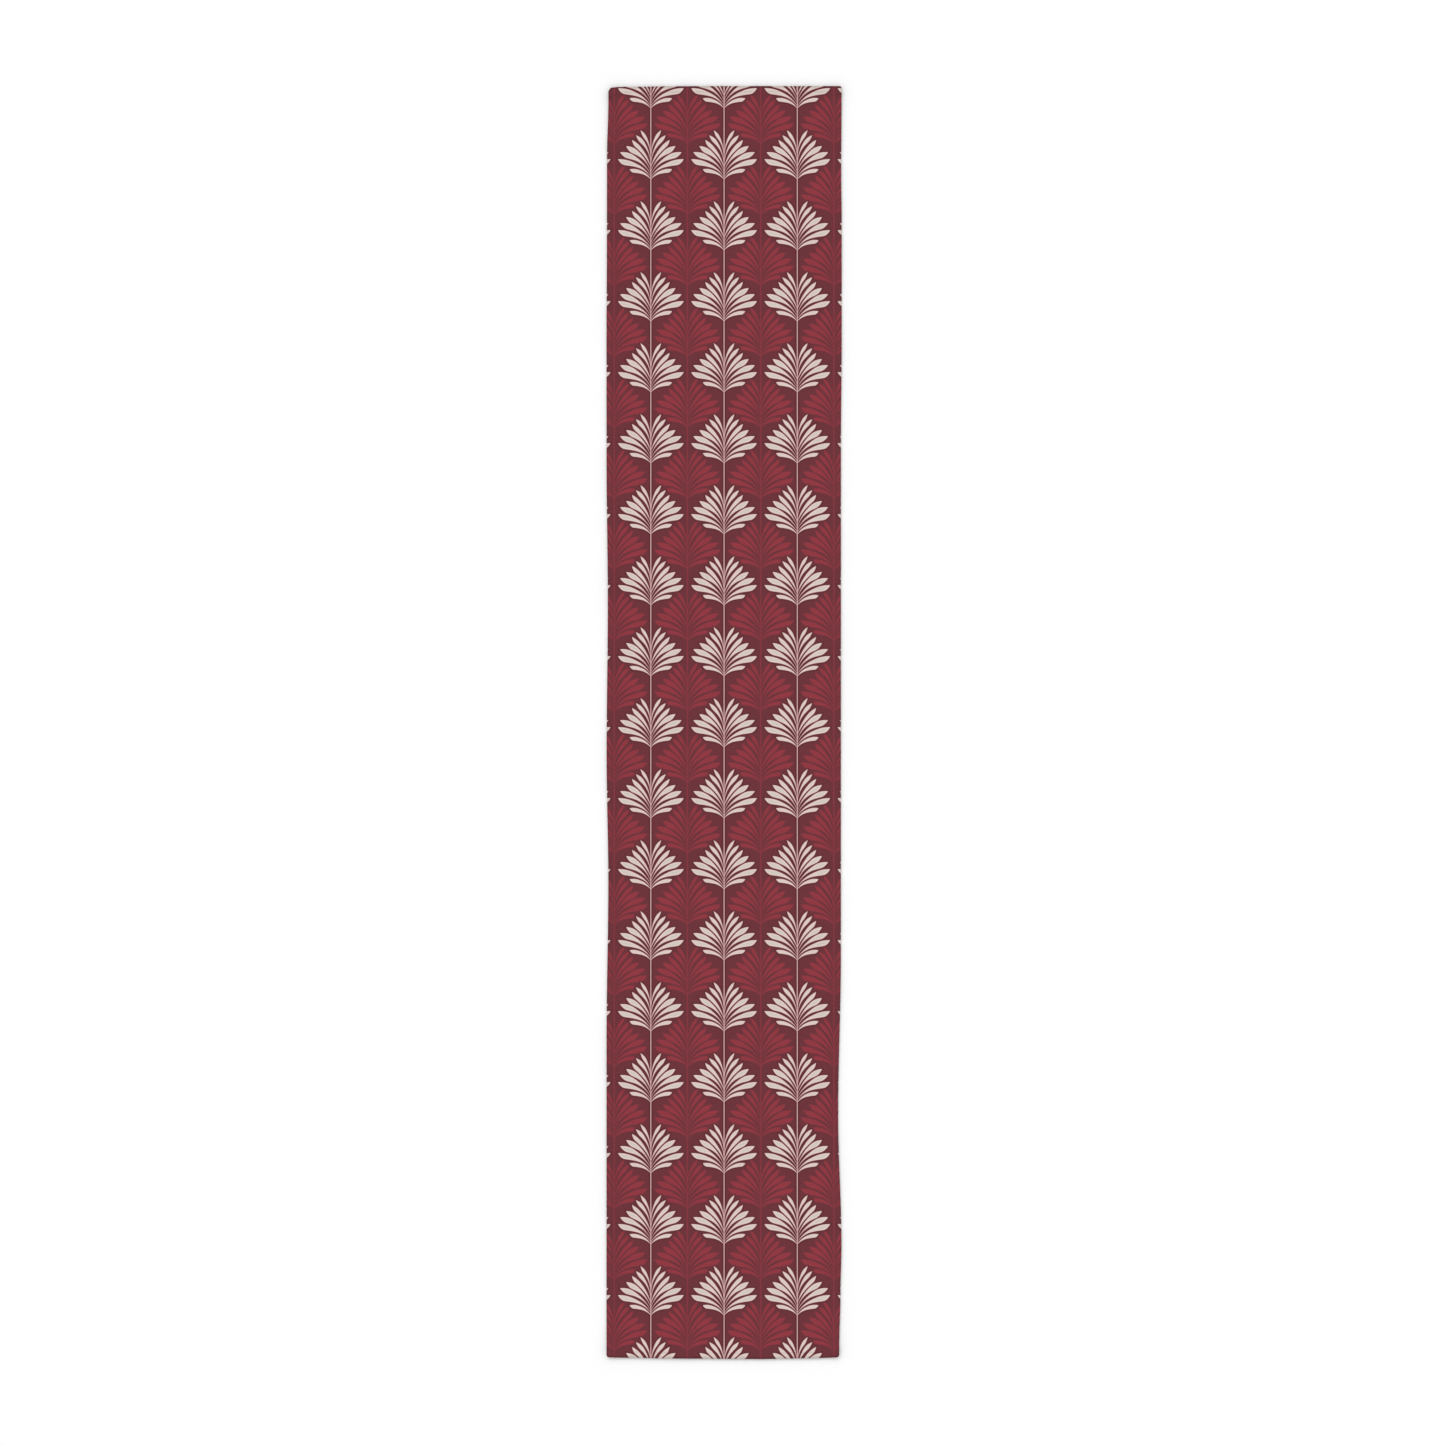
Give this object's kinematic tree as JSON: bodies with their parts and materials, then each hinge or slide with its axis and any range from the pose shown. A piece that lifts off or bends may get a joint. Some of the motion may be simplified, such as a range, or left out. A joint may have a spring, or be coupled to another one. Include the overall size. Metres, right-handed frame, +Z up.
{
  "type": "table runner",
  "caption": "Long narrow printed cloth for a table, hemmed on all sides and laid flat, with a half-drop pattern of leafy fans on thin stems.",
  "frame": {"origin": "middle of the underside, on the surface that the runner lies on", "axes": "+Z up out of the printed face, +Y along the length towards the head, +X across the width"},
  "size_m": [0.422, 2.286, 0.0014],
  "materials": {
    "printed_cloth": "printed cotton twill, matt",
    "turned_hem": "printed cotton twill turned under, matt",
    "sewing_thread": "spun sewing thread, soft sheen"
  },
  "bodies": {
    "root": {"runner_cloth": "printed_cloth", "left_hem": "turned_hem", "right_hem": "turned_hem", "head_hem": "turned_hem", "foot_hem": "turned_hem", "left_needle_thread": "sewing_thread", "right_needle_thread": "sewing_thread", "head_needle_thread": "sewing_thread", "foot_needle_thread": "sewing_thread", "left_bobbin_thread": "sewing_thread", "right_bobbin_thread": "sewing_thread", "head_bobbin_thread": "sewing_thread", "foot_bobbin_thread": "sewing_thread"}
  },
  "joints": []
}
